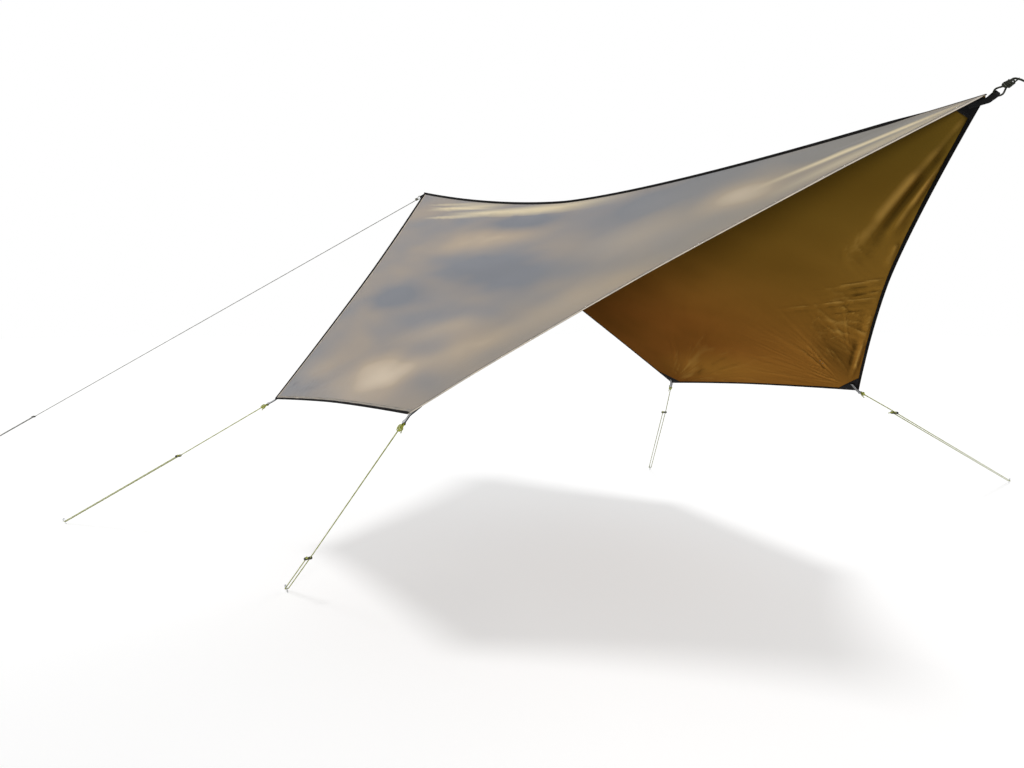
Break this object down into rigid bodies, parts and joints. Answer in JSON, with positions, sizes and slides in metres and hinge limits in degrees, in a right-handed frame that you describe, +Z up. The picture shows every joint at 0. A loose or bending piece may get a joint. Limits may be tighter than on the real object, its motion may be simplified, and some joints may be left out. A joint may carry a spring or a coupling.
{
  "type": "camping tarp",
  "caption": "Ridge tarp shelter pitched open: two bowed cloth wings on a sagging ridge seam, webbing corner loops, guylines with sliding tensioners and hooked wire pegs.",
  "frame": {"origin": "the rear end of the ridge, in the middle of the rolled ridge seam", "axes": "+X level along the ridge to its front end, +Y to the far wing, +Z up; the ground is at z = -1.95"},
  "size_m": [6.2179, 6.97, 2.0946],
  "materials": {
    "cloth": "coated ripstop, slightly glossy taupe",
    "binding": "black woven tape",
    "patch": "black reinforcing cloth",
    "webbing": "black webbing with a pale reflective face",
    "cord": "braided yellow-green cord",
    "tensioner": "moulded nylon",
    "peg": "drawn steel wire"
  },
  "bodies": {
    "tarp": {"far_canopy_panel": "cloth", "far_front_binding": "binding", "far_front_guyline": "cord", "far_front_knot": "cord", "far_front_loop": "webbing", "far_front_patch": "patch", "far_front_stopper_knot": "cord", "far_hem_binding": "binding", "far_rear_binding": "binding", "far_rear_guyline": "cord", "far_rear_knot": "cord", "far_rear_loop": "webbing", "far_rear_patch": "patch", "far_rear_stopper_knot": "cord", "far_ridge_front_patch": "patch", "far_ridge_rear_patch": "patch", "front_line_bight_knot": "cord", "front_ridge_guyline": "cord", "front_ridge_knot": "cord", "front_ridge_loop": "webbing", "near_canopy_panel": "cloth", "near_front_binding": "binding", "near_front_guyline": "cord", "near_front_knot": "cord", "near_front_loop": "webbing", "near_front_patch": "patch", "near_front_stopper_knot": "cord", "near_hem_binding": "binding", "near_rear_binding": "binding", "near_rear_guyline": "cord", "near_rear_knot": "cord", "near_rear_loop": "webbing", "near_rear_patch": "patch", "near_rear_stopper_knot": "cord", "near_ridge_front_patch": "patch", "near_ridge_rear_patch": "patch", "rear_ridge_guyline": "cord", "rear_ridge_knot": "cord", "rear_ridge_loop": "webbing", "rear_ridge_stopper_knot": "cord", "ridge_seam": "binding"},
    "near_rear_tensioner": {"near_rear_tensioner": "tensioner"},
    "near_rear_peg": {"near_rear_peg": "peg"},
    "near_front_tensioner": {"near_front_tensioner": "tensioner"},
    "near_front_peg": {"near_front_peg": "peg"},
    "far_front_tensioner": {"far_front_tensioner": "tensioner"},
    "far_front_peg": {"far_front_peg": "peg"},
    "far_rear_tensioner": {"far_rear_tensioner": "tensioner"},
    "far_rear_peg": {"far_rear_peg": "peg"},
    "rear_ridge_tensioner": {"rear_ridge_tensioner": "tensioner"},
    "rear_ridge_peg": {"rear_ridge_peg": "peg"}
  },
  "joints": [
    {"name": "near_rear_tensioner_slide", "type": "slide", "parent": "tarp", "child": "near_rear_tensioner", "axis": [-0.7336, -0.5315, -0.4234], "range_m": [0, 1.02]},
    {"name": "near_rear_peg_pull", "type": "slide", "parent": "tarp", "child": "near_rear_peg", "axis": [-0.3429, -0.2484, 0.9059], "range_m": [0, 0.13]},
    {"name": "near_front_tensioner_slide", "type": "slide", "parent": "tarp", "child": "near_front_tensioner", "axis": [-0.7836, -0.1389, -0.6056], "range_m": [0, 0.27]},
    {"name": "near_front_peg_pull", "type": "slide", "parent": "tarp", "child": "near_front_peg", "axis": [-0.5963, -0.1057, 0.7958], "range_m": [0, 0.13]},
    {"name": "far_front_tensioner_slide", "type": "slide", "parent": "tarp", "child": "far_front_tensioner", "axis": [-0.3562, 0.8979, -0.2587], "range_m": [0, 2.71]},
    {"name": "far_front_peg_pull", "type": "slide", "parent": "tarp", "child": "far_front_peg", "axis": [-0.0954, 0.2405, 0.966], "range_m": [0, 0.13]},
    {"name": "far_rear_tensioner_slide", "type": "slide", "parent": "tarp", "child": "far_rear_tensioner", "axis": [-0.7554, 0.4591, -0.4676], "range_m": [0, 1.13]},
    {"name": "far_rear_peg_pull", "type": "slide", "parent": "tarp", "child": "far_rear_peg", "axis": [-0.3996, 0.2429, 0.8839], "range_m": [0, 0.13]},
    {"name": "rear_ridge_tensioner_slide", "type": "slide", "parent": "tarp", "child": "rear_ridge_tensioner", "axis": [-0.5473, -0.7092, -0.4445], "range_m": [0, 0.92]},
    {"name": "rear_ridge_peg_pull", "type": "slide", "parent": "tarp", "child": "rear_ridge_peg", "axis": [-0.2716, -0.3519, 0.8958], "range_m": [0, 0.13]}
  ]
}
